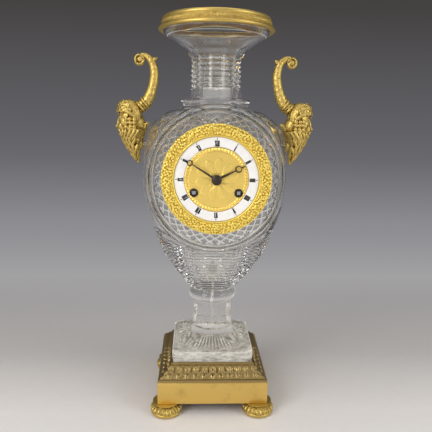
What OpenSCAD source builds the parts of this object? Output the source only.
// Amphora mantel clock: a cut glass vase on a gilt plinth, with mask handles and an eight day
// striking movement in a sleeve through the vase. Z is up, the dial faces -Y.

/* [Plinth] */
// Width and depth of the plinth block
base_w = 118; // [112:1:126]
// Height of the plinth block
block_h = 24.3; // [20:0.5:32]
// Wall of the plinth block
block_wall = 4; // [3:0.5:6]
// Height of each bun foot
foot_h = 14; // [12:0.5:18]
// Largest radius of a bun foot
foot_r = 17.3; // [15:0.1:18]
// Distance from the block's side to a foot's centre
foot_inset = 9; // [8:0.5:12]
// Height of the square fillet at the foot of the cornice
fillet_h = 3.7; // [3:0.1:5]
// Height of the leaf slope of the cornice
slope_h = 8; // [6:0.5:12]
// Height of the plain band at the top of the cornice
band_h = 4.5; // [3:0.5:8]
// Inset of the band behind the block's side
band_inset = 14.2; // [13:0.1:15]
// Thickness of the deck that closes the cornice
deck_t = 4; // [3:0.5:6]

/* [Glass] */
// Width of the square glass foot
plate_w = 88; // [84:0.5:90]
// Thickness of the square glass foot at its edge
plate_t = 12; // [9:0.5:16]
// Width of its cut corners
plate_cant = 7; // [4:0.5:10]
// Rise of its star cut top
plate_rise = 9.5; // [6:0.5:14]
// Height of the band under the stem
stem_band_h = 8; // [5:0.5:12]
// Half width of the band under the stem
stem_band_r = 23.4; // [22:0.1:25]
// Height of the eight sided stem
stem_h = 25; // [18:0.5:34]
// Half width of the stem at its foot
stem_r0 = 22; // [20:0.1:23]
// Half width of the stem at its head
stem_r1 = 20.6; // [19:0.1:22]
// Height of the collar over the stem
collar_h = 6; // [4:0.5:8]
// Radius of the collar over the stem
collar_r = 21.5; // [21:0.1:24]
// Height of the knop
knop_h = 13.5; // [10:0.5:16]
// Radius of the knop
knop_r = 26.5; // [25.5:0.1:30]
// Height of the vase body
body_h = 201.5; // [198:0.5:212]
// Largest radius of the vase body
body_r = 78.4; // [77:0.1:80]
// Half depth of the body behind its cut rings
body_y = 42; // [40:0.5:43]
// Wall of the vase body
glass_wall = 7; // [5:0.5:8]
// Depth of the dial's centre under the body's top
dial_drop = 74; // [72.5:0.5:76.5]
// Half depth of the body at the bezel seats
seat_y = 50; // [48:0.5:52]
// Radius of the glass seat of a bezel
seat_r = 61.2; // [59:0.1:63]
// Step in radius from one cut ring to the next
ring_step = 3.6; // [3:0.1:4]
// Number of rows of step cuts on the lower body
step_rows = 16; // [12:1:20]
// Height of the band of step cuts
steps_h = 54; // [46:1:56]

/* [Neck] */
// Height of the disc at the neck's foot
neck_disc_h = 6; // [4:0.5:8]
// Radius of the disc at the neck's foot
neck_disc_r = 37.2; // [35:0.1:40]
// Height of the plain facet band
facet_h = 10.5; // [8:0.5:14]
// Half width of the facet band
facet_r = 26; // [24:0.1:28]
// Number of cut rings on the neck
neck_rings = 6; // [4:1:8]
// Height of one cut ring with its groove
neck_ring_h = 5; // [4:0.1:6]
// Half width of the neck at a ring
neck_r = 25.2; // [24:0.1:26]
// Height of the flared lip
flare_h = 33; // [28:0.5:36]
// Outer radius of the glass lip
lip_r = 55.4; // [52:0.1:58]
// Wall of the neck and the lip
neck_wall = 5; // [4:0.5:7]
// Radius of the plug that seats the neck in the body
plug_r = 18; // [16:0.1:19]
// Length of that plug
plug_h = 10; // [8:0.5:12]
// Height of the gilt rim
rim_h = 13.8; // [12:0.2:18]
// How far the rim's bead stands out past the glass lip
rim_bead = 4.8; // [4:0.1:6]

/* [Handles] */
// How far the scroll's inmost bend lies in from the vase's widest side
scroll_in = 13.7; // [12.5:0.1:14.5]
// Half width of the scroll's bar at that bend
scroll_bar = 4.5; // [4:0.1:5]
// Height of the scroll's inmost bend over the dial's centre
scroll_up = 103.6; // [102:0.1:105]
// Radius of the rolled end
volute_r = 6.4; // [5:0.1:7]
// Thickness of the rolled end
volute_t = 8.4; // [7:0.1:10]
// How far a mask's brow stands out past the vase's widest side
mask_out = 26; // [25:0.1:28]
// Half depth of a mask, front to back
mask_w = 16.5; // [14:0.1:18]
// Height of the handle stud over the dial's centre
stud_up = 31; // [29:0.5:33]
// Radius of a handle stud
stud_r = 2.2; // [1.8:0.1:2.6]

/* [Case] */
// Outer radius of the case sleeve
sleeve_r = 46; // [45.5:0.1:46.4]
// Wall of the case sleeve
sleeve_wall = 0.8; // [0.6:0.1:1.2]
// Outer radius of the front bezel
bezel_r = 54.6; // [53:0.1:56]
// How far the front bezel stands out from the glass
bezel_rise = 10.8; // [10.6:0.1:11.4]
// Radius of the opening round the enamel
sight_r = 42.2; // [42:0.1:42.6]
// Outer radius of the rear bezel
rear_r = 53; // [51:0.5:55]
// How far the rear bezel stands out
rear_rise = 7; // [6:0.5:9]
// Radius of the rear door
door_r = 44; // [42:0.5:45]
// Thickness of the rear door
door_t = 1.6; // [1.2:0.1:2.4]

/* [Dial] */
// Outer radius of the enamel ring
enamel_r = 41.9; // [41:0.1:41.9]
// Inner radius of the enamel ring
enamel_hole = 32.2; // [31:0.1:33]
// Thickness of the enamel ring
enamel_t = 2; // [1.5:0.1:2.4]
// Half the distance between the winding squares
wind_x = 22.2; // [22:0.1:22.6]
// Drop of the winding squares under the centre
wind_drop = 13.1; // [12.8:0.1:13.4]
// Width of a winding square
wind_sq = 3.4; // [3:0.1:3.8]
// Outer radius of a winding collet
collet_r = 4.3; // [4:0.1:4.6]
// Length of the minute hand
minute_len = 39; // [36:0.5:41]
// Length of the hour hand
hour_len = 32.4; // [28:0.1:34]
// Angle of the minute hand at rest, clockwise from twelve
minute_at = 302; // [0:1:359]
// Angle of the hour hand at rest, clockwise from twelve
hour_at = 63.5; // [0:0.5:359]

/* [Movement] */
// Radius of the movement plates
plate_r = 40; // [39.5:0.1:41]
// Thickness of the movement plates
mv_t = 1.8; // [1.5:0.1:2.2]
// Distance between the movement plates
mv_gap = 28; // [28:0.5:30]
// Space between the dial plate and the front plate
dial_gap = 7; // [7:0.5:8]
// Radius of a spring barrel's drum
drum_r = 15.7; // [14.6:0.1:15.9]
// Radial clearance of a pivot in its hole
pivot_fit = 0.05; // [0.02:0.01:0.08]
// Length of the pendulum from its bend to the bob's centre
pend_len = 62; // [60:0.5:64]
// Radius of the pendulum bob
bob_r = 7.5; // [6:0.5:8.5]
// Radius of the bell's mouth
bell_r = 35.5; // [34:0.5:36.5]
// Depth of the bell
bell_h = 19; // [16:0.5:22]

/* [Hidden] */
$fn = 64;

// Heights, from the table up
z_block = foot_h;
z_cornice = z_block + block_h;
z_slope = z_cornice + fillet_h;
z_band = z_slope + slope_h;
z_glass = z_band + band_h;
z_rise = z_glass + plate_t;
z_stem_band = z_rise + plate_rise;
z_stem = z_stem_band + stem_band_h;
z_collar = z_stem + stem_h;
z_knop = z_collar + collar_h;
z_body = z_knop + knop_h;
z_neck = z_body + body_h;
dial_up = body_h - dial_drop;
z_dial = z_body + dial_up;
z_facet = z_neck + neck_disc_h;
z_rings = z_facet + facet_h;
z_flare = z_rings + neck_rings * neck_ring_h;
z_lip = z_flare + flare_h;

// Seats and fits
base_half = base_w / 2;
band_half = base_half - band_inset;
foot_at = base_half - foot_inset;
fit = 0.1;
gap = 0.3;
seat = 0.02;
sink = 0.1;

// Tie rod through the stand
rod_r = 1.6;
rod_hole = rod_r + gap;
nut_t = 4;
nut_r = 5;
floor_t = 12;

// Depths of the case and the movement, from the dial back
y_seat = -seat_y;
y_bezel = y_seat - bezel_rise;
y_enamel = y_seat - 7;
y_dial = y_enamel + enamel_t;
dial_t = 1.2;
y_motion = y_dial + dial_t;
y_front = y_motion + dial_gap;
y_in = y_front + mv_t;
y_back = y_in + mv_gap;
y_out = y_back + mv_t;

// Bezels and sleeve
sleeve_in = sleeve_r - sleeve_wall;
bore_r = sleeve_r + 0.6;
spigot_r = sleeve_in - fit;
spigot_in = spigot_r - 1.3;
spigot_l = 4;
dial_r = spigot_in - fit;
screw_at = sleeve_in - 3.2;

// Trains: tooth counts and modules
great_n = 84;
great_m = 0.415;
barrel_leaves = 12;
inter_n = 60;
inter_m = 0.545;
centre_leaves = 10;
centre_n = 96;
third_leaves = 8;
fine_m = 0.36;
third_n = 90;
escape_leaves = 6;
third_m = 0.34;
escape_n = 40;
escape_r = 8;
cannon_n = 14;
minute_n = 42;
minute_leaves = 12;
hour_n = 48;
cannon_m = 0.4;
hour_m = cannon_m * (cannon_n + minute_n) / (minute_leaves + hour_n);
second_n = 72;
pin_leaves = 8;
pin_n = 60;
locking_leaves = 6;
locking_n = 56;
fly_leaves = 7;
fly_m = 0.28;

// Bearings from each arbor of the strike to the next, in degrees
second_turn = 92;
pin_turn = 58.6;
locking_turn = 60;
fly_turn = 170;

// Arbor places in the plane of the dial, measured from its centre
going_at = [wind_x, -wind_drop];
strike_at = [-wind_x, -wind_drop];
inter_at = meet([0, 0], going_at, inter_m * (inter_n + centre_leaves) / 2,
  great_m * (great_n + barrel_leaves) / 2, -1);
escape_at = [0, 24];
third_at = meet([0, 0], escape_at, fine_m * (centre_n + third_leaves) / 2,
  third_m * (third_n + escape_leaves) / 2, -1);
pallet_at = escape_at + [0, 11.2];
minute_at_arbor = [0, cannon_m * (cannon_n + minute_n) / 2];
second_at = strike_at + great_m * (great_n + barrel_leaves) / 2 * unit(second_turn);
pin_at = second_at + fine_m * (second_n + pin_leaves) / 2 * unit(pin_turn);
locking_at = pin_at + fine_m * (pin_n + locking_leaves) / 2 * unit(locking_turn);
fly_at = locking_at + fly_m * (locking_n + fly_leaves) / 2 * unit(fly_turn);
hammer_at = [-31, 21];
lever_at = [-36.3, 12.5];
pillar_out = plate_r - 2.4;
pillar_at = [for (a = [12, 62, 137, 270]) pillar_out * unit(a)];

// Axial places between the plates, measured back from the front plate
w_centre = 4;
w_second = 6.6;
w_inter = 8.2;
w_third = 10.6;
w_great = 12.8;
w_escape = 18;
w_pin = 20.6;
w_locking = 24.5;
wheel_t = 1;
pivot_r = 0.6;
fine_pivot = 0.35;
arbor_r = 1.1;

// Barrels and their ratchets
barrel_l = 12.4;
barrel_wall = 1;
arbor_core = 2.6;
ratchet_r = 6.2;
ratchet_n = 16;
y_ratchet = y_front - 2;
click_at = [for (s = [1, -1]) [s * (wind_x + 8.4), -wind_drop - 5.4]];

// Pendulum and bell
hang_at = [0, 37];
y_pend = y_out + 5.4;
y_bell = y_out + 13.5;

brass = [0.78, 0.62, 0.28];
gilt = [0.83, 0.66, 0.28];
antique = [0.5, 0.42, 0.24];
steel = [0.55, 0.56, 0.58];
blued = [0.13, 0.11, 0.12];
glass = [0.86, 0.88, 0.87, 0.4];

function unit(a) = [cos(a), sin(a)];
function bearing(p, q) = atan2(q.y - p.y, q.x - p.x);

// One of the two points at rp from p and rq from q
function meet(p, q, rp, rq, side) =
  let (d = q - p, l = norm(d), a = (rp * rp - rq * rq + l * l) / (2 * l), h = sqrt(rp * rp - a * a))
  p + a * d / l + side * h * [-d.y, d.x] / l;

// Outline of the vase, radius against height, from knop to neck
neck_seat_r = neck_disc_r - 2.6;

function blend3(p, q, r, s, t) = 0.5 * (2 * q + (r - p) * t + (2 * p - 5 * q + 4 * r - s) * t * t
  + (3 * q - p - 3 * r + s) * t * t * t);

// Smooth curve through a list of points
function curve(pts, n) = let (m = len(pts) - 1)
  concat([for (i = [0:m - 1]) for (k = [0:n - 1])
    blend3(pts[max(i - 1, 0)], pts[i], pts[i + 1], pts[min(i + 2, m)], k / n)], [pts[m]]);

// Upper body, from the top of the step cuts to the neck seat
shoulder_pts = [[body_r - 18.9, steps_h], [body_r - 9.8, (steps_h + body_h - 109.5) / 2],
  [body_r - 3.2, body_h - 109.5], [body_r, body_h - 85.5], [body_r - 0.7, body_h - 61.5],
  [body_r - 2.4, body_h - 43.5], [body_r - 6.2, body_h - 29], [body_r - 14, body_h - 17.5],
  [body_r - 28, body_h - 8.3], [neck_seat_r + 2, body_h - 4.5]];
shoulder = curve(shoulder_pts, 4);
foot_pts = [[23.8, 0], [26.4, 2.6], [38.4, 17.5], [body_r - 25.6, 39], [body_r - 18.9, steps_h]];
lower = curve(foot_pts, 4);

function lower_r(z) = lookup(z, [for (p = lower) [p.y, p.x]]);
// Half depth of the lower body, flatter than its half width
function lower_y(z) = min(lower_r(z), lookup(z, [[0, 23.8], [17.5, 33], [39, body_y - 2.4], [60, body_y]]));
function upper_r(z) = lookup(z, [for (p = shoulder) [p.y, p.x]]);

// Points of a toothed wheel: four to a tooth
function teeth(n, m, add, ded, w, turn) = [for (i = [0:n - 1]) for (k = [0:3])
  let (outer = k == 1 || k == 2, half = 360 / n * w * (outer ? 0.5 : 1.35), side = k < 2 ? -1 : 1)
  (m * n / 2 + (outer ? add : -ded) * m) * unit(turn + 360 / n * i + side * half)];

// Ring of points across a bar that lies in the plane of the handles
function ring(p, a, half, deep, n) = [for (k = [0:n - 1]) let (t = 360 * k / n)
  [p.x + half * cos(t) * sin(a), deep * sin(t), p.y - half * cos(t) * cos(a)]];

// Faces that join rings of n points into a closed skin
function skin(rings, n) = concat([for (k = [1:n - 2]) [0, k, k + 1]],
  [for (i = [0:rings - 2]) for (k = [0:n - 1]) let (l = (k + 1) % n) for (f = [0, 1])
    f == 0 ? [i * n + k, (i + 1) * n + k, (i + 1) * n + l] : [i * n + k, (i + 1) * n + l, i * n + l]],
  [for (k = [1:n - 2]) let (o = (rings - 1) * n) [o, o + k + 1, o + k]]);

module bar_y(at, r, y0, y1) {
  translate([at.x, y0, z_dial + at.y]) rotate([-90, 0, 0]) cylinder(h = y1 - y0, r = r);
}

// Extrudes a drawing of the dial plane from depth y0 back to y1
module slab(y0, y1) {
  translate([0, y1, z_dial]) rotate([90, 0, 0]) linear_extrude(height = y1 - y0) children();
}

// Turns an outline of radius and depth about the dial's axis
module lathe_y() {
  translate([0, 0, z_dial]) rotate([-90, 0, 0]) rotate_extrude($fn = 96) children();
}

module disc_y(at, r, hole, y0, y1) {
  slab(y0, y1) translate(at) difference() {
    circle(r = r);
    circle(r = hole);
  }
}

module toothed(at, n, m, y0, y1, turn, leaf) {
  slab(y0, y1) translate(at) polygon(teeth(n, m, leaf ? 0.75 : 0.95, 1.4, leaf ? 0.15 : 0.19, turn));
}

// Crossed out wheel with its teeth, five spokes and hub
module crossed(at, n, m, w, turn, t = wheel_t) {
  rim = m * n / 2 - 1.4 * m - 1.1;
  slab(y_in + w, y_in + w + t) translate(at) {
    difference() {
      polygon(teeth(n, m, 0.95, 1.4, 0.19, turn));
      circle(r = rim);
    }
    circle(r = 2.6);
    for (i = [0:4]) rotate(turn + 72 * i) translate([0, -0.5]) square([rim + 0.4, 1]);
  }
}

// Arbor between the plates, with a pivot in each
module arbor(at, r = arbor_r) {
  bar_y(at, r, y_in + gap, y_back - gap);
  bar_y(at, r > 0.8 ? pivot_r : fine_pivot, y_front + 0.3, y_out - 0.3);
}

module pinion(at, n, m, w0, w1, turn) {
  toothed(at, n, m, y_in + w0, y_in + w1, turn, true);
}

module square_block(half, z0, z1) {
  translate([-half, -half, z0]) cube([2 * half, 2 * half, z1 - z0]);
}

// Square body whose sides follow an outline of half width against height
module square_moulding(pts) {
  side = concat(pts, [for (i = [len(pts) - 1:-1:0]) [-pts[i].x, pts[i].y]]);
  reach = max([for (p = pts) p.x]) + 1;
  intersection() {
    rotate([90, 0, 0]) translate([0, 0, -reach]) linear_extrude(height = 2 * reach) polygon(side);
    rotate([90, 0, 90]) translate([0, 0, -reach]) linear_extrude(height = 2 * reach) polygon(side);
  }
}

// Eight sided body: half widths across the flats and across the corners at two heights
module eight_sided(r0, r1, c0, c1, z0, z1) {
  reach = max(r0, r1, c0, c1) + 1;
  intersection_for(a = [0, 45, 90, 135]) {
    flat = a == 0 || a == 90;
    b = flat ? r0 : c0;
    t = flat ? r1 : c1;
    rotate([0, 0, a]) rotate([90, 0, 0]) translate([0, 0, -2 * reach]) linear_extrude(height = 4 * reach)
      polygon([[-b, z0], [b, z0], [t, z1], [-t, z1]]);
  }
}

module foot_profile() {
  polygon([[head_hole, 0], [12.5, 0], [14.6, 0.5], [16, 1.6], [16.6, 3.1], [16.2, 4.4], [16.9, 5.2],
    [foot_r, 6.8], [foot_r - 0.1, 8.2], [foot_r - 0.9, 9.4], [foot_r - 2.4, 10.3], [foot_r - 4.3, 10.8],
    [foot_r - 4.6, 11.4], [foot_r - 3.4, foot_h - 1.6], [foot_r - 2.8, foot_h],
    [stud_foot_r + fit, foot_h], [stud_foot_r + fit, 3], [head_hole, 3]]);
}

module at_feet() {
  for (x = [-1, 1]) for (y = [-1, 1]) translate([x * foot_at, y * foot_at, 0]) children();
}

module feet() {
  color(gilt) at_feet() rotate_extrude() foot_profile();
}

stud_foot_r = 2.2;
head_hole = 4.4;
stud_top = z_cornice + 3.4;

// Screws that draw feet, block and cornice together
module foot_studs() {
  color(steel) at_feet() {
    translate([0, 0, 1]) cylinder(h = 2, r = head_hole - gap);
    translate([0, 0, 1]) cylinder(h = stud_top - 1, r = stud_foot_r);
  }
}

module plinth_block() {
  color(gilt) difference() {
    square_block(base_half, z_block, z_cornice);
    square_block(base_half - block_wall, z_block - 1, z_cornice + 1);
  }
}

cornice_foot = base_half - 0.6;
lip_in = base_half - block_wall - gap;

module plinth_cornice() {
  color(antique) difference() {
    union() {
      square_moulding([[cornice_foot, z_cornice], [cornice_foot, z_slope - 0.6],
        [cornice_foot - 0.8, z_slope], [cornice_foot - 2.2, z_slope + 0.2],
        [band_half + 8.2, z_slope + slope_h * 0.32], [band_half + 3.4, z_slope + slope_h * 0.66],
        [band_half + 1.2, z_band - 0.4], [band_half, z_band], [band_half, z_glass]]);
      square_block(lip_in, z_cornice - 2.4, z_cornice + 0.5);
    }
    square_block(band_half - 4, z_cornice - 3, z_glass - deck_t);
    translate([0, 0, z_glass - deck_t - 1]) cylinder(h = deck_t + 2, r = rod_hole);
    at_feet() translate([0, 0, z_cornice - 3])
      cylinder(h = stud_top - z_cornice + 3.3, r = stud_foot_r + seat);
  }
}

rod_low = z_glass - deck_t - nut_t - 3;
rod_high = z_body + floor_t + nut_t + 3;

module tie_rod() {
  color(steel) translate([0, 0, rod_low]) cylinder(h = rod_high - rod_low, r = rod_r);
}

module flange_nut() {
  difference() {
    union() {
      cylinder(h = 1.2, r = nut_r + 2);
      cylinder(h = nut_t, r = nut_r, $fn = 6);
    }
    translate([0, 0, -1]) cylinder(h = nut_t + 2, r = rod_r + pivot_fit);
  }
}

module tie_nuts() {
  color(steel) {
    translate([0, 0, z_body + floor_t]) flange_nut();
    translate([0, 0, z_glass - deck_t]) mirror([0, 0, 1]) flange_nut();
  }
}

module glass_foot() {
  half = plate_w / 2;
  corner = (2 * half - plate_cant) / sqrt(2);
  color(glass) difference() {
    union() {
      eight_sided(half, half, corner, corner, z_glass, z_rise);
      eight_sided(half - 1.5, stem_band_r + 1.5, corner - 1.5, stem_band_r * 1.1, z_rise - sink, z_stem_band);
      eight_sided(stem_band_r, stem_band_r - 0.6, stem_band_r, stem_band_r - 0.6, z_stem_band - sink, z_stem);
      eight_sided(stem_r0, stem_r1, stem_r0, stem_r1, z_stem - sink, z_collar);
      translate([0, 0, z_collar - sink]) cylinder(h = collar_h + sink, r = collar_r);
    }
    translate([0, 0, z_glass - 1]) cylinder(h = z_knop - z_glass + 2, r = rod_hole);
  }
}

module glass_knop() {
  flat = knop_r - 3.6;
  color(glass) rotate_extrude() polygon([[rod_hole, z_knop], [flat, z_knop], [knop_r - 1.2, z_knop + 1.8],
    [knop_r - 0.2, z_knop + 4.2], [knop_r, z_knop + 6.4], [knop_r - 0.6, z_knop + 8.8],
    [knop_r - 2, z_knop + 10.6], [knop_r - 3.4, z_body - 1.2], [knop_r - 3.6, z_body],
    [rod_hole, z_body]]);
}

boss_rings = [0, 1, 2, 3];
ring_fall = 2.3;
facet = 0.42;

// One row of step cuts: an eight sided slice
module cut_row(rx, ry, z, h) {
  quarters = [[1, 1], [-1, 1], [-1, -1], [1, -1]];
  translate([0, 0, z]) linear_extrude(height = h)
    polygon([for (s = quarters) for (k = s.x * s.y > 0 ? [0, 1] : [1, 0])
      [s.x * rx * (k == 0 ? 1 : facet), s.y * ry * (k == 0 ? facet : 1)]]);
}

module body_outer() {
  row = steps_h / step_rows;
  for (i = [0:step_rows - 1]) {
    rx = lower_r((i + 0.5) * row);
    ry = lower_y((i + 0.5) * row);
    cut_row(rx, ry, z_body + i * row, row * 0.62 + 0.01);
    cut_row(rx - 0.9, ry - 0.9, z_body + (i + 0.62) * row, row * 0.38 + 0.01);
  }
  intersection() {
    translate([0, 0, z_body]) rotate_extrude($fn = 96) polygon(concat([[0, steps_h]], shoulder,
      [[neck_seat_r + 1.4, body_h - 3.6], [neck_seat_r, body_h - 2.6], [neck_seat_r, body_h],
      [0, body_h]]));
    translate([-body_r - 1, -body_y, z_body]) cube([2 * body_r + 2, 2 * body_y, body_h]);
  }
  for (i = boss_rings)
    bar_y([0, 0], seat_r + i * ring_step, -seat_y + i * ring_fall, seat_y - i * ring_fall);
}

cavity_y = body_y - 4;

module body_cavity() {
  z_floor = z_body + floor_t;
  inner = [for (p = lower) if (p.y > floor_t + 1 && p.y < steps_h) [lower_y(p.y) - glass_wall - 2, p.y]];
  upper = [for (p = shoulder) if (p.y < body_h - 14) [p.x - glass_wall, p.y]];
  intersection() {
    translate([0, 0, z_body]) rotate_extrude($fn = 96)
      polygon(concat([[0, floor_t], [inner[0].x - 3, floor_t]], inner, upper, [[0, body_h - 14]]));
    translate([-body_r, -cavity_y, z_floor - 1]) cube([2 * body_r, 2 * cavity_y, body_h]);
  }
}

module glass_body() {
  color(glass) difference() {
    body_outer();
    body_cavity();
    bar_y([0, 0], bore_r, -seat_y - 1, seat_y + 1);
    translate([0, 0, z_body - 1]) cylinder(h = floor_t + 2, r = rod_hole);
    translate([0, 0, z_neck - 16]) cylinder(h = 17, r = plug_r + fit);
    handle_holes();
  }
}

module handle_holes() {
  translate([-body_r - 1, 0, z_dial + stud_up]) rotate([0, 90, 0])
    cylinder(h = 2 * body_r + 2, r = stud_r + gap);
}

// Outer line of the flare: radius, and share of its height under the lip
flare_pts = [[neck_r - 0.6, 0], [neck_r + 2.6, 0.09], [neck_r + 4.3, 0.25], [neck_r + 8.8, 0.375],
  [neck_r + 17.8, 0.59], [neck_r + 25.8, 0.75], [lip_r - 0.6, 0.88]];
flare = curve([for (q = flare_pts) [q.x, z_flare + q.y * (flare_h - 5)]], 3);
bore_neck = neck_r - neck_wall - 2;

module glass_neck() {
  color(glass) difference() {
    union() {
      translate([0, 0, z_neck - plug_h]) cylinder(h = plug_h + 1, r = plug_r);
      rotate_extrude($fn = 96) polygon([[0, z_neck], [neck_disc_r - 1, z_neck], [neck_disc_r, z_neck + 1.4],
        [neck_disc_r, z_facet - 2.4], [neck_disc_r - 2.2, z_facet - 0.8], [facet_r + 3, z_facet],
        [0, z_facet]]);
      translate([0, 0, z_facet - 0.01]) rotate([0, 0, 15])
        cylinder(h = facet_h - 0.8, r = facet_r / cos(15), $fn = 12);
      translate([0, 0, z_rings - 1]) cylinder(h = 1.4, r = neck_r - 1.6);
      for (i = [0:neck_rings - 1]) translate([0, 0, z_rings + i * neck_ring_h]) rotate([0, 0, 15]) {
        cylinder(h = neck_ring_h * 0.62, r = neck_r / cos(15), $fn = 12);
        cylinder(h = neck_ring_h + 0.01, r = (neck_r - 1.2) / cos(15), $fn = 12);
      }
      rotate_extrude($fn = 96) polygon(concat([[0, z_flare - 0.01]], flare,
        [[lip_r, z_lip - 6], [lip_r, z_lip - 3.4], [lip_r - 1.2, z_lip], [0, z_lip]]));
    }
    translate([0, 0, z_facet + 1]) cylinder(h = z_flare - z_facet + 2, r = bore_neck);
    rotate_extrude($fn = 96) polygon(concat([[0, z_flare]], [[bore_neck, z_flare]],
      [for (p = flare) if (p.y > z_flare + 2) [p.x - neck_wall - 1.4, p.y + 2.2]],
      [[lip_r - neck_wall, z_lip - 1.5], [lip_r - neck_wall + 0.2, z_lip + 1], [0, z_lip + 1]]));
  }
}

rim_low = z_lip - 6.8;

module rim_mount() {
  bead = lip_r + rim_bead;
  top = rim_low + rim_h;
  color(gilt) rotate_extrude($fn = 96) polygon([[lip_r + gap, rim_low], [bead - 1, rim_low],
    [bead - 0.2, rim_low + 0.9], [bead, rim_low + 2], [bead - 0.5, rim_low + 3.2],
    [bead - 1.2, rim_low + 4], [bead - 1.2, rim_low + 4.8], [bead - 2.4, rim_low + 6.4],
    [bead - 2.6, rim_low + 7.6], [bead - 3.4, rim_low + 8.6], [bead - 3.6, rim_low + 9.6],
    [bead - 4.8, rim_low + 11], [bead - 5.6, top - 1.4], [bead - 6.4, top - 0.4],
    [bead - 7.4, top], [bead - 8.8, top - 0.2], [bead - 9.6, top - 1], [bead - 9.9, z_lip + gap],
    [lip_r - 1.2 + gap, z_lip + gap], [lip_r + gap, z_lip - 3.4]]);
}

// Stations of the bar, from the mask up to the roll: offset from the bend out and up, and half width
bar_pts = [[23.8, -44, 5.6], [19.3, -37.6, 6], [13.7, -32.6, 6.2], [9.3, -29.6, 7], [5.5, -22.8, 5.8],
  [2.9, -16, 5.1], [0.9, -8.1, 4.8], [0, 0, scroll_bar], [0.9, 7, 4.2], [3, 12.9, 3.7], [6.3, 16.6, 3.2],
  [11.8, 17.6, 2.8]];
scroll_x = body_r - scroll_in;
z_bend = z_dial + scroll_up;
bar_n = 20;
roll_at = [scroll_x + 14.6, z_bend + 14.5];

module handle_bar() {
  m = len(bar_pts) - 1;
  polyhedron(points = [for (i = [0:m]) let (p = bar_pts[i], q = bar_pts[max(i - 1, 0)],
    r = bar_pts[min(i + 1, m)], a = atan2(r.y - q.y, r.x - q.x))
    each ring([scroll_x + p.x, z_bend + p.y], a, p.z, p.z * 0.95 + 0.2, bar_n)],
    faces = skin(m + 1, bar_n), convexity = 6);
}

// Sections of a mask with its hair and beard: height over the dial's centre, inner reach past the
// vase's widest side, outer reach from the brow, and share of the half depth
brow = body_r + mask_out;
mask_pts = [[9.5, 3.6, -21, 0.08], [19, 0.9, -15.8, 0.42], [26.5, -0.4, -10.8, 0.7], [34, -1.9, -6.2, 0.9],
  [40.5, -3.4, -3.4, 1], [48.5, -6.6, -1.6, 1.03], [54, -9.4, -0.7, 1], [55.4, -4.8, -0.3, 0.99],
  [62.2, -2.9, 0, 0.92], [67, 0.6, -5, 0.8], [72.4, 4.6, -7.4, 0.58], [75.6, 8.6, -14, 0.2]];
mask_n = 28;

module handle_mask() {
  m = len(mask_pts);
  polyhedron(points = [for (p = mask_pts) for (k = [0:mask_n - 1])
    let (t = 360 * k / mask_n, in = body_r + p[1], out = brow + p[2])
    [(out + in) / 2 + (out - in) / 2 * cos(t), mask_w * p[3] * sin(t), z_dial + p[0]]],
    faces = skin(m, mask_n), convexity = 6);
}

z_stud = z_dial + stud_up;

// Cast handle: bar, rolled end, ribbed collar and mask, bored for its stud
module handle(side) {
  color(gilt) mirror([side < 0 ? 1 : 0, 0, 0]) difference() {
    union() {
      handle_bar();
      handle_mask();
      translate([roll_at.x, volute_t / 2, roll_at.y]) rotate([90, 0, 0]) cylinder(h = volute_t, r = volute_r);
      translate([roll_at.x, volute_t / 2 + 0.9, roll_at.y]) rotate([90, 0, 0])
        cylinder(h = volute_t + 1.8, r = volute_r * 0.42);
      translate([scroll_x, 0, z_bend + 14.4]) sphere(r = 2.4, $fn = 32);
      for (i = [0:2])
        translate([scroll_x + 9.9 + 4.6 * i, 0, z_bend - 29.8 - 3.6 * i]) rotate([0, 128 + 4 * i, 0])
          translate([0, 0, -0.9]) cylinder(h = 1.8, r = 7.6 - 0.2 * i);
      translate([stud_seat, 0, z_stud]) rotate([0, 90, 0]) cylinder(h = boss_l, r = boss_r);
    }
    translate([stud_seat - 1, 0, z_stud]) rotate([0, 90, 0])
      cylinder(h = stud_in + 1.3, r = stud_r + pivot_fit);
  }
}

module handle_left() {
  handle(-1);
}

module handle_right() {
  handle(1);
}

// Where the stud meets the vase outside and inside
stud_seat = upper_r(dial_up + stud_up - 5) + gap;
stud_in = 11;
boss_l = stud_in - 1;
boss_r = stud_r + 2.8;
wall_in = upper_r(dial_up + stud_up + 5) - glass_wall - gap;

module handle_studs() {
  color(steel) for (s = [-1, 1]) mirror([s < 0 ? 1 : 0, 0, 0])
    translate([wall_in - 6, 0, z_stud]) rotate([0, 90, 0])
      cylinder(h = stud_seat + stud_in - 1 - wall_in + 6, r = stud_r);
}

module handle_nuts() {
  color(brass) for (s = [-1, 1]) mirror([s < 0 ? 1 : 0, 0, 0])
    translate([wall_in - 4, 0, z_stud]) rotate([0, 90, 0]) difference() {
      union() {
        cylinder(h = 3.2, r = 4.2, $fn = 6);
        translate([0, 0, 3.2]) cylinder(h = 0.8, r = 4.8);
      }
      translate([0, 0, -1]) cylinder(h = 8, r = stud_r + pivot_fit);
    }
}

module case_sleeve() {
  color(brass) lathe_y() polygon([[sleeve_in, y_seat + 0.4], [sleeve_r, y_seat + 0.4],
    [sleeve_r, seat_y - 0.4], [sleeve_in, seat_y - 0.4]]);
}

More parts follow.
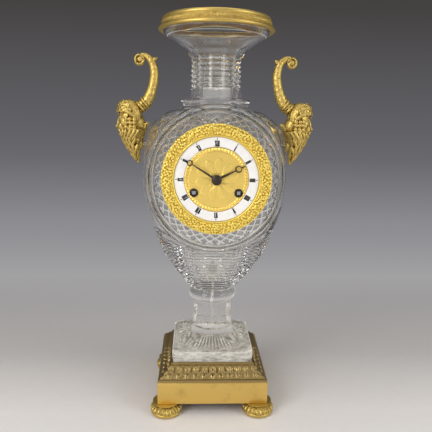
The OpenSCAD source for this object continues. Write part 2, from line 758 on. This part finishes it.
module front_bezel() {
  color(gilt) difference() {
    union() {
      lathe_y() polygon([[spigot_in, y_seat + spigot_l], [spigot_r, y_seat + spigot_l], [spigot_r, y_seat],
        [bezel_r - 0.4, y_seat], [bezel_r, y_seat - 1], [bezel_r - 0.2, y_seat - 3.4],
        [bezel_r - 1.4, y_seat - 6], [bezel_r - 3.2, y_bezel + 1.4], [bezel_r - 5.4, y_bezel + 0.2],
        [bezel_r - 7.2, y_bezel], [bezel_r - 8.8, y_bezel + 0.8], [bezel_r - 9.4, y_bezel + 1.8],
        [sight_r + 1.8, y_bezel + 1.9], [sight_r + 0.3, y_enamel - 0.2], [sight_r, y_enamel + 0.2],
        [sight_r, y_dial], [spigot_in, y_dial]]);
      for (s = [-1, 1]) intersection() {
        bar_y([s * screw_at, 0], 3, y_motion + 0.2, y_front - gap);
        bar_y([0, 0], spigot_in + 0.6, y_motion, y_motion + 8);
      }
    }
    for (s = [-1, 1]) bar_y([s * screw_at, 0], 1.2 + pivot_fit, y_motion + 1, y_motion + 9);
  }
}

rear_out = seat_y + rear_rise;

module rear_bezel() {
  color(gilt) difference() {
    union() {
      lathe_y() polygon([[sleeve_in - 7, seat_y - 2.4], [spigot_r, seat_y - 2.4], [spigot_r, seat_y],
        [rear_r - 0.5, seat_y], [rear_r, seat_y + 1.2], [rear_r - 1.2, seat_y + 4],
        [rear_r - 4, rear_out - 0.4],
        [rear_r - 5.6, rear_out], [door_r + gap, rear_out], [door_r + gap, rear_out - door_t - 0.4],
        [sleeve_in - 7, rear_out - door_t - 0.4]]);
      knuckle(-hinge_half, -leaf - gap, hinge_r);
      knuckle(leaf + gap, hinge_half, hinge_r);
    }
    for (s = [-1, 1]) bar_y([s * screw_at, 0], 1.2 + fit, seat_y - 4, rear_out);
    for (s = [-1, 1]) bar_y([s * screw_at, 0], 2.4 + fit, rear_out - door_t - 3, rear_out);
    hinge_cut();
  }
}

screw_head_y = rear_out - door_t - 3;

module bezel_screws() {
  color(steel) for (s = [-1, 1]) {
    bar_y([s * screw_at, 0], 1.2, y_motion + 1.4, screw_head_y + 0.5);
    bar_y([s * screw_at, 0], 2.4, screw_head_y, screw_head_y + 1.6);
  }
}

hinge_x = door_r + 2.2;
hinge_r = 1.7;
hinge_half = 7;
hinge_y = rear_out + 0.6;
leaf = hinge_half / 3;
hinge_pin_r = 0.8;

// Knuckle of the hinge between two heights beside the dial's centre
module knuckle(z0, z1, r) {
  translate([hinge_x, hinge_y, z_dial + z0]) cylinder(h = z1 - z0, r = r);
}

// Room for the door's knuckle and leaf in the bezel
module hinge_cut() {
  knuckle(-leaf - gap, leaf + gap, hinge_r + 0.9);
  knuckle(-hinge_half - 1.4, hinge_half + 1.4, hinge_pin_r + pivot_fit);
  knuckle(hinge_half, hinge_half + 1.4, hinge_r);
  translate([hinge_x - 6, rear_out - door_t - 0.4, z_dial - leaf - gap])
    cube([6, door_t + 3, 2 * leaf + 2 * gap]);
}

module rear_door() {
  color(gilt) difference() {
    union() {
      bar_y([0, 0], door_r, rear_out - door_t, rear_out);
      knuckle(-leaf, leaf, hinge_r);
      translate([hinge_x - 6, rear_out - door_t, z_dial - leaf]) cube([6, door_t, 2 * leaf]);
    }
    knuckle(-leaf - 1, leaf + 1, hinge_pin_r + pivot_fit);
    bar_y([-door_r + 6, 0], 1.5 + pivot_fit, rear_out - door_t - 1, rear_out + 1);
  }
}

module hinge_pin() {
  color(brass) {
    knuckle(-hinge_half - 1, hinge_half + 0.5, hinge_pin_r);
    knuckle(hinge_half + 0.2, hinge_half + 1, hinge_r - 0.3);
  }
}

module door_knob() {
  color(gilt) translate([-door_r + 6, 0, z_dial]) rotate([-90, 0, 0]) {
    translate([0, 0, rear_out - door_t]) cylinder(h = door_t + 1, r = 1.5);
    translate([0, 0, rear_out + gap]) rotate_extrude() polygon([[0, 0], [2.2, 0], [3.2, 1.6], [3, 3.2],
      [1.6, 4.2], [0, 4.4]]);
  }
}

wind_at = [going_at, strike_at];
foot_hole_at = [for (a = [37, 175, 250, 290]) pillar_out * unit(a)];

module dial_plate() {
  color(brass) {
    difference() {
      disc_y([0, 0], dial_r, 4.4, y_dial, y_motion);
      for (p = wind_at) bar_y(p, collet_r - 0.9, y_dial - 1, y_motion + 1);
      for (a = [24, 204]) bar_y(screw_at * unit(a), 3.4, y_dial - 1, y_motion + 1);
    }
    for (p = foot_hole_at) bar_y(p, 1.2, y_motion - 0.5, y_in + 1.2);
  }
}

module chapter_ring() {
  color("white") lathe_y() polygon([[enamel_hole, y_dial], [enamel_hole, y_enamel + 0.5],
    [enamel_hole + 0.8, y_enamel], [enamel_r - 0.8, y_enamel], [enamel_r, y_enamel + 0.5],
    [enamel_r, y_dial]]);
}

module dial_centre() {
  color(gilt) difference() {
    disc_y([0, 0], enamel_hole - gap, 4.4, y_enamel + 0.6, y_dial);
    for (p = wind_at) bar_y(p, collet_r + pivot_fit, y_enamel - 1, y_dial + 1);
  }
}

module winding_collets() {
  color(blued) for (p = wind_at) {
    disc_y(p, collet_r, collet_r - 1.3, y_enamel - 0.2, y_dial);
  }
}

// Open ring hand: a tapering blade, a ring and a fine tip
module hand(len, ring_at, ring_r, root_w, turn, y0, t) {
  slab(y0, y0 + t) rotate(-turn) {
    circle(r = root_w * 1.9);
    polygon([[-root_w / 2, 0], [root_w / 2, 0], [0.45, ring_at - ring_r + 0.4],
      [-0.45, ring_at - ring_r + 0.4]]);
    difference() {
      translate([0, ring_at]) circle(r = ring_r);
      translate([0, ring_at + 0.25]) circle(r = ring_r - 0.95);
    }
    polygon([[-0.75, ring_at + ring_r - 0.4], [0.75, ring_at + ring_r - 0.4], [0.12, len], [-0.12, len]]);
  }
}

pipe_r = 2.6;
centre_r = 0.9;
cannon_r = 1.9;
y_hour = y_enamel - 1.2;
y_minute = y_hour - 1.5;
hand_t = 0.6;

module hour_hand() {
  color(blued) difference() {
    hand(hour_len, hour_len - 8.4, 3.4, 2.6, hour_at, y_hour, hand_t);
    bar_y([0, 0], pipe_r + seat, y_hour - 1, y_hour + 2);
  }
}

module minute_hand() {
  color(blued) difference() {
    hand(minute_len, minute_len - 7.9, 2.9, 2.2, minute_at, y_minute, hand_t);
    bar_y([0, 0], cannon_r - 0.5 + seat, y_minute - 1, y_minute + 2);
  }
}

module hand_collet() {
  color(brass) difference() {
    bar_y([0, 0], 2.6, y_minute - 1.1, y_minute);
    bar_y([0, 0], centre_r + seat, y_minute - 2, y_minute + 1);
  }
}

stout_at = [inter_at, third_at, pallet_at, second_at, pin_at, hammer_at, lever_at];
fine_at = [escape_at, locking_at, fly_at];

module plate_holes(y0, y1) {
  for (p = stout_at) bar_y(p, pivot_r + pivot_fit, y0 - 1, y1 + 1);
  for (p = fine_at) bar_y(p, fine_pivot + pivot_fit, y0 - 1, y1 + 1);
  for (p = wind_at) bar_y(p, arbor_core + pivot_fit, y0 - 1, y1 + 1);
}

module front_plate() {
  color(brass) {
    difference() {
      disc_y([0, 0], plate_r, 1.5 + pivot_fit, y_front, y_in);
      plate_holes(y_front, y_in);
      for (p = foot_hole_at) bar_y(p, 1.2 + pivot_fit, y_front - 1, y_in + 1);
      for (p = pillar_at) bar_y(p, 1.2 + pivot_fit, y_front - 1, y_in + 1);
    }
    bar_y(minute_at_arbor, 0.9, y_front - 5.4, y_front + 0.5);
    for (i = [0, 1]) bar_y(click_at[i], 0.9, y_ratchet - 1, y_front + 0.5);
  }
}

module back_plate() {
  color(brass) difference() {
    disc_y([0, 0], plate_r, 1.5 + pivot_fit, y_back, y_out);
    plate_holes(y_back, y_out);
    for (p = pillar_at) bar_y(p, 1.2 + pivot_fit, y_back - 1, y_out + 1);
    bar_y(pallet_at, 3, y_back - 1, y_out + 1);
  }
}

module pillars() {
  color(brass) for (p = pillar_at) difference() {
    translate([p.x, 0, z_dial + p.y]) rotate([-90, 0, 0]) rotate_extrude() polygon([[0, y_in], [2.3, y_in],
      [2.3, y_in + 2], [1.6, y_in + 3], [1.9, y_in + mv_gap / 2], [1.6, y_back - 3], [2.3, y_back - 2],
      [2.3, y_back], [0, y_back]]);
    bar_y(p, 1 + pivot_fit, y_in - 1, y_in + 5);
    bar_y(p, 1 + pivot_fit, y_back - 5, y_back + 1);
  }
}

module pillar_screws() {
  color(blued) for (p = pillar_at) {
    bar_y(p, 1, y_front - 0.6, y_in + 4.5);
    bar_y(p, 2, y_front - 1.4, y_front);
    bar_y(p, 1, y_back - 4.5, y_out + 0.6);
    bar_y(p, 2, y_out, y_out + 1.4);
  }
}

y_great = y_in + w_great;
barrel_turn = [bearing(going_at, inter_at), bearing(strike_at, second_at)];

// Spring barrel: great wheel, drum and cap round a hollow
module barrel(at, turn) {
  color(brass) difference() {
    union() {
      toothed(at, great_n, great_m, y_great, y_great + 1.4, turn, false);
      bar_y(at, drum_r, y_great + 1.3, y_great + barrel_l);
    }
    bar_y(at, drum_r - barrel_wall, y_great + 1.4, y_great + barrel_l - barrel_wall);
    bar_y(at, arbor_core + pivot_fit, y_great - 1, y_great + barrel_l + 1);
  }
}

module going_barrel() {
  barrel(going_at, barrel_turn[0]);
}

module strike_barrel() {
  barrel(strike_at, barrel_turn[1]);
}

// Ratchet wheel with raked teeth
module ratchet(at, side) {
  slab(y_ratchet, y_ratchet + 1.2) translate(at) rotate(side > 0 ? 8 : -8) mirror([side > 0 ? 0 : 1, 0])
    difference() {
      polygon([for (i = [0:ratchet_n - 1]) for (k = [0, 1]) let (a = 360 / ratchet_n * (i + 0.9 * k))
        (ratchet_r - 1.2 * (1 - k)) * unit(a)]);
      circle(r = 2);
    }
}

y_square = y_enamel + 0.6;

// Winding arbor: square for the key, ratchet, core and two pivots
module winding_arbor(at, side) {
  color(steel) {
    translate([at.x - wind_sq / 2, y_square, z_dial + at.y - wind_sq / 2])
      cube([wind_sq, y_ratchet - y_square + 0.3, wind_sq]);
    ratchet(at, side);
    bar_y(at, arbor_core, y_ratchet, y_great + barrel_l + 0.6);
    bar_y(at, arbor_core, y_great + barrel_l, y_out + 0.6);
  }
}

module going_arbor() {
  winding_arbor(going_at, 1);
}

module strike_arbor() {
  winding_arbor(strike_at, -1);
}

spring_turns = 7;
spring_in = arbor_core + 0.8;
spring_out = drum_r - barrel_wall - 0.5;
spring_t = 0.42;

// Mainspring as a flat coil hooked by its outer end
module mainspring(at, side) {
  steps = spring_turns * 20;
  pitch = (spring_out - spring_in) / steps;
  color(steel) slab(y_great + 2.2, y_great + barrel_l - barrel_wall - 0.8) translate(at)
    mirror([side > 0 ? 0 : 1, 0]) polygon(concat(
      [for (i = [0:steps]) (spring_in + pitch * i) * unit(18 * i)],
      [for (i = [steps:-1:0]) (spring_in + pitch * i - spring_t) * unit(18 * i)]));
}

module going_spring() {
  mainspring(going_at, 1);
}

module strike_spring() {
  mainspring(strike_at, -1);
}

// Click: a pawl on a stud of the front plate, its tip by a ratchet tooth
module click(i) {
  color(steel) slab(y_ratchet, y_ratchet + 1.2) translate(click_at[i]) mirror([i, 0]) difference() {
    union() {
      circle(r = 2);
      polygon([[1.4, -1], [1.7, 0.8], [-1, 4.6], [-1.9, 4.8], [-1.6, 0.6]]);
    }
    circle(r = 0.9 + pivot_fit);
  }
}

module going_click() {
  click(0);
}

module strike_click() {
  click(1);
}

// Blade springs behind the clicks, each on a block of the front plate
module click_springs() {
  color(steel) for (i = [0, 1]) slab(y_ratchet + 0.1, y_front) translate(click_at[i]) mirror([i, 0]) {
    translate([-0.2, 9.4]) square([2.4, 2.4]);
    polygon([[0.6, 10], [1.1, 10], [1.1, 3.8], [0.7, 3.8]]);
  }
}

module intermediate_wheel() {
  color(brass) {
    arbor(inter_at);
    pinion(inter_at, barrel_leaves, great_m, w_great - 0.4, w_great + 1.8,
      bearing(inter_at, going_at) + 180 / barrel_leaves);
    crossed(inter_at, inter_n, inter_m, w_inter, bearing(inter_at, [0, 0]));
  }
}

centre_pivot = 1.5;

module centre_wheel() {
  color(brass) {
    bar_y([0, 0], centre_pivot, y_in - mv_t - 0.2, y_out - 0.3);
    bar_y([0, 0], centre_r, y_minute - 1.4, y_front);
    bar_y([0, 0], 1.7, y_in + gap, y_in + w_inter + 3);
    pinion([0, 0], centre_leaves, inter_m, w_inter - 0.4, w_inter + 1.6,
      bearing([0, 0], inter_at) + 180 / centre_leaves);
    crossed([0, 0], centre_n, fine_m, w_centre, bearing([0, 0], third_at));
  }
}

y_cannon = y_front - 2.2;

module cannon_pinion() {
  color(steel) difference() {
    union() {
      toothed([0, 0], cannon_n, cannon_m, y_cannon, y_cannon + 1.8,
        bearing([0, 0], minute_at_arbor) + 180 / cannon_n, true);
      bar_y([0, 0], cannon_r, y_minute + hand_t, y_cannon + 0.5);
      bar_y([0, 0], cannon_r - 0.5, y_minute, y_cannon);
    }
    bar_y([0, 0], centre_r + seat, y_minute - 2, y_cannon + 4);
  }
}

y_hour_wheel = y_cannon - 1.6;

module minute_wheel() {
  at = minute_at_arbor;
  color(brass) difference() {
    union() {
      toothed(at, minute_n, cannon_m, y_cannon + 0.3, y_cannon + 1.5, bearing(at, [0, 0]), false);
      toothed(at, minute_leaves, hour_m, y_hour_wheel - 0.3, y_cannon + 0.4,
        bearing(at, [0, 0]) + 180 / minute_leaves, true);
    }
    bar_y(at, 0.9 + pivot_fit, y_front - 9, y_front + 1);
  }
}

module hour_wheel() {
  color(brass) difference() {
    union() {
      toothed([0, 0], hour_n, hour_m, y_hour_wheel, y_hour_wheel + 1,
        bearing([0, 0], minute_at_arbor), false);
      bar_y([0, 0], pipe_r, y_hour, y_hour_wheel + 0.5);
    }
    bar_y([0, 0], cannon_r + pivot_fit, y_hour - 1, y_cannon);
  }
}

module third_wheel() {
  color(brass) {
    arbor(third_at, 0.9);
    pinion(third_at, third_leaves, fine_m, w_centre - 0.4, w_centre + 1.6,
      bearing(third_at, [0, 0]) + 180 / third_leaves);
    crossed(third_at, third_n, third_m, w_third, bearing(third_at, escape_at));
  }
}

// Escape wheel with fine raked teeth
module escape_wheel() {
  color(brass) {
    arbor(escape_at, 0.5);
    pinion(escape_at, escape_leaves, third_m, w_third - 0.4, w_third + 1.6,
      bearing(escape_at, third_at) + 180 / escape_leaves);
    slab(y_in + w_escape, y_in + w_escape + wheel_t) translate(escape_at) {
      difference() {
        polygon([for (i = [0:escape_n - 1]) for (k = [0:2])
          let (a = 360 / escape_n * (i + [0, 0.12, 0.62][k])) (escape_r - [0, 0, 1.3][k]) * unit(a)]);
        circle(r = escape_r - 2.4);
      }
      circle(r = 1.8);
      for (i = [0:3]) rotate(90 * i) translate([0, -0.4]) square([escape_r - 2, 0.8]);
    }
  }
}

crutch_y = y_out + 1.2;
fork_v = 19;

// Anchor pallets on their arbor, with the crutch behind the back plate
module pallets() {
  nib = escape_r + 0.6;
  color(steel) {
    bar_y(pallet_at, 0.8, y_in + gap, crutch_y + 3);
    bar_y(pallet_at, pivot_r, y_front + 0.3, y_in + 1);
    slab(y_in + w_escape - 0.2, y_in + w_escape + wheel_t + 0.2) {
      translate(pallet_at) circle(r = 1.9);
      for (s = [-1, 1]) difference() {
        polygon([pallet_at + [0, 1.2], pallet_at + [s * 5.6, -3.6], pallet_at + [s * 6.6, -6.4],
          pallet_at + [s * 4.4, -6.2], pallet_at + [s * 3.6, -3.8], pallet_at + [0, -1.2]]);
        translate(escape_at) circle(r = nib);
      }
    }
    slab(crutch_y, crutch_y + 1) {
      translate(pallet_at) circle(r = 2.2);
      translate([-0.7, fork_v]) square([1.4, pallet_at.y - fork_v]);
      translate([-2.4, fork_v - 1]) square([4.8, 2]);
    }
    for (s = [-1, 1]) slab(crutch_y + 0.5, y_pend + 1.4)
      translate([s * 1.9 - 0.5, fork_v - 1]) square([1, 2]);
  }
}

// Cock behind the top of the back plate, holding the pendulum's suspension and the pallet pivot
module suspension_cock() {
  color(brass) difference() {
    union() {
      for (s = [-1, 1]) bar_y([s * 9, pallet_at.y - 6], 2, y_out, crutch_y + 2.6);
      slab(crutch_y + 1.8, crutch_y + 3.2) hull() {
        for (s = [-1, 1]) translate([s * 9, pallet_at.y - 6]) circle(r = 2.4);
        translate(hang_at + [0, 0.6]) circle(r = 4);
      }
      slab(crutch_y + 3.1, y_pend + 2) translate(hang_at + [-2.6, 0.4]) square([5.2, 3]);
    }
    bar_y(pallet_at, 0.8 + pivot_fit, crutch_y - 1, crutch_y + 5);
    slab(y_pend - 0.9, y_pend + 3) translate(hang_at + [-0.22, -1]) square([0.44, 6]);
  }
}

// Pendulum: suspension strip, rod and bob
module pendulum() {
  bob = hang_at - [0, pend_len];
  color(brass) {
    slab(y_pend - 0.6, y_pend + 1.2) translate(hang_at + [-0.12, -7]) square([0.24, 7.9]);
    bar_y(hang_at - [0, 7.4], 1.3, y_pend - 0.9, y_pend + 1.5);
    slab(y_pend - 0.4, y_pend + 1) translate([bob.x - 0.6, bob.y]) square([1.2, pend_len - 7.4]);
    translate([bob.x, y_pend, z_dial + bob.y]) rotate([-90, 0, 0]) rotate_extrude() polygon([[0, -2.6],
      [bob_r - 3, -2.2], [bob_r, -0.4], [bob_r, 0.8], [bob_r - 3, 2.4], [0, 2.8]]);
    slab(y_pend - 0.4, y_pend + 1) translate([bob.x - 0.5, bob.y - bob_r - 2.4]) square([1, 5]);
  }
}

count_r = 12.4;

// Second wheel of the strike, with the count wheel on its arbor behind the back plate
module second_wheel() {
  color(brass) {
    arbor(second_at);
    bar_y(second_at, pivot_r, y_back, y_out + 3);
    pinion(second_at, barrel_leaves, great_m, w_great - 0.4, w_great + 1.8,
      bearing(second_at, strike_at) + 180 / barrel_leaves);
    crossed(second_at, second_n, fine_m, w_second, bearing(second_at, pin_at));
    slab(y_out + 0.8, y_out + 1.8) translate(second_at) difference() {
      circle(r = count_r);
      for (i = [0:11]) rotate(-2 * i * (i + 3)) translate([count_r - 1.6, -0.6]) square([3, 1.2]);
      circle(r = 0.5);
    }
  }
}

hammer_pins = 10;
pin_circle = 9.7;

module pin_wheel() {
  color(brass) {
    arbor(pin_at, 0.9);
    pinion(pin_at, pin_leaves, fine_m, w_second - 0.4, w_second + 1.6,
      bearing(pin_at, second_at) + 180 / pin_leaves);
    crossed(pin_at, pin_n, fine_m, w_pin, bearing(pin_at, locking_at));
    for (i = [0:hammer_pins - 1]) bar_y(pin_at + pin_circle * unit(36 * i), 0.4,
      y_in + w_pin + 0.5, y_in + w_pin + 3);
  }
}

module locking_wheel() {
  color(brass) {
    arbor(locking_at, 0.5);
    pinion(locking_at, locking_leaves, fine_m, w_pin - 0.4, w_pin + 1.6,
      bearing(locking_at, pin_at) + 180 / locking_leaves);
    crossed(locking_at, locking_n, fly_m, w_locking, bearing(locking_at, fly_at));
    bar_y(locking_at + [0, 6.9], 0.45, y_in + w_locking + 0.5, y_in + w_locking + 2.4);
  }
}

module fly() {
  color(brass) {
    arbor(fly_at, 0.5);
    pinion(fly_at, fly_leaves, fly_m, w_locking - 0.4, w_locking + 1.6,
      bearing(fly_at, locking_at) + 180 / fly_leaves);
    slab(y_in + 8, y_in + 19) translate(fly_at) rotate(35) translate([-5, -0.3]) square([10, 0.6]);
  }
}

hammer_y = y_out + 9;
head_at = 39.4 * unit(197);

// Hammer on its arbor: the tail short of the pins, the arm behind the back plate
module hammer() {
  tail = hammer_at + 5.1 * unit(bearing(hammer_at, pin_at));
  color(steel) {
    arbor(hammer_at, 0.9);
    bar_y(hammer_at, pivot_r, y_back, hammer_y + 0.5);
    slab(y_in + w_pin + 1.6, y_in + w_pin + 2.8) {
      translate(hammer_at) circle(r = 1.8);
      bridge(hammer_at, tail, 0.8);
    }
    slab(hammer_y, hammer_y + 1.4) {
      translate(hammer_at) circle(r = 2);
      bridge(hammer_at, head_at, 0.9);
    }
    bar_y(head_at, 3, hammer_y - 1, y_bell + 4);
  }
}

// Lever of the strike: lifted from the front, it drops into the count wheel and stops the locking wheel
module count_lever() {
  beak = second_at + (count_r + gap) * unit(122);
  front_end = 10.2 * unit(161);
  inner_end = locking_at + 8.2 * unit(bearing(locking_at, lever_at));
  color(steel) {
    arbor(lever_at, 0.9);
    bar_y(lever_at, pivot_r, y_front - 2.4, y_front + 0.5);
    bar_y(lever_at, pivot_r, y_out - 0.5, y_out + 2.2);
    slab(y_front - 2, y_front - 1) {
      translate(lever_at) circle(r = 1.6);
      bridge(lever_at, front_end, 0.7);
    }
    slab(y_in + w_locking + 1.6, y_in + w_locking + 2.6) {
      translate(lever_at) circle(r = 1.6);
      bridge(lever_at, inner_end, 0.7);
    }
    slab(y_out + 0.8, y_out + 1.8) {
      translate(lever_at) circle(r = 1.6);
      bridge(lever_at, beak + [-1.2, 1.4], 0.8);
      polygon([beak + [-1.9, 1.4], beak + [-0.4, -0.1], beak + [0.4, 0.4], beak + [-0.5, 2]]);
    }
  }
}

// Straight bar in the dial plane between two points
module bridge(p, q, half) {
  translate(p) rotate(bearing(p, q)) translate([0, -half]) square([norm(q - p), 2 * half]);
}

post_at = [21, -4];
post_r = 2.2;
y_arm = y_bell - 2.8;
stem_bell = 1.6;

// Post, cranked arm and stem that carry the bell
module bell_stand() {
  color(brass) {
    bar_y(post_at, post_r, y_out, y_arm + 1.8);
    slab(y_arm, y_arm + 1.8) bridge([0, 0], post_at, 1.6);
    bar_y([0, 0], 2.2, y_arm, y_arm + 1.8);
    bar_y([0, 0], stem_bell, y_arm, y_bell + bell_h + 3);
    bar_y([0, 0], 3.4, y_bell + bell_h - 3, y_bell + bell_h - 1.5);
    bar_y([0, 0], 3.4, y_bell + bell_h, y_bell + bell_h + 1.8);
  }
}

module bell() {
  wall = 1.2;
  hole = stem_bell + seat;
  color([0.7, 0.6, 0.38]) lathe_y() polygon([[hole, y_bell + bell_h - wall],
    [bell_r * 0.5, y_bell + bell_h - 2], [bell_r * 0.8, y_bell + bell_h - 6], [bell_r - 2.6, y_bell + 6],
    [bell_r - wall, y_bell], [bell_r, y_bell], [bell_r - 1.2, y_bell + 6.4],
    [bell_r * 0.82, y_bell + bell_h - 5], [bell_r * 0.5, y_bell + bell_h - 0.8], [hole, y_bell + bell_h]]);
}

feet();
foot_studs();
plinth_block();
plinth_cornice();
tie_rod();
tie_nuts();
glass_foot();
glass_knop();
glass_body();
glass_neck();
rim_mount();
handle_left();
handle_right();
handle_studs();
handle_nuts();
case_sleeve();
front_bezel();
rear_bezel();
bezel_screws();
rear_door();
hinge_pin();
door_knob();
dial_plate();
chapter_ring();
dial_centre();
winding_collets();
hour_hand();
minute_hand();
hand_collet();
front_plate();
back_plate();
pillars();
pillar_screws();
going_barrel();
going_arbor();
going_spring();
strike_barrel();
strike_arbor();
strike_spring();
going_click();
strike_click();
click_springs();
intermediate_wheel();
centre_wheel();
cannon_pinion();
minute_wheel();
hour_wheel();
third_wheel();
escape_wheel();
pallets();
suspension_cock();
pendulum();
second_wheel();
pin_wheel();
locking_wheel();
fly();
hammer();
count_lever();
bell_stand();
bell();
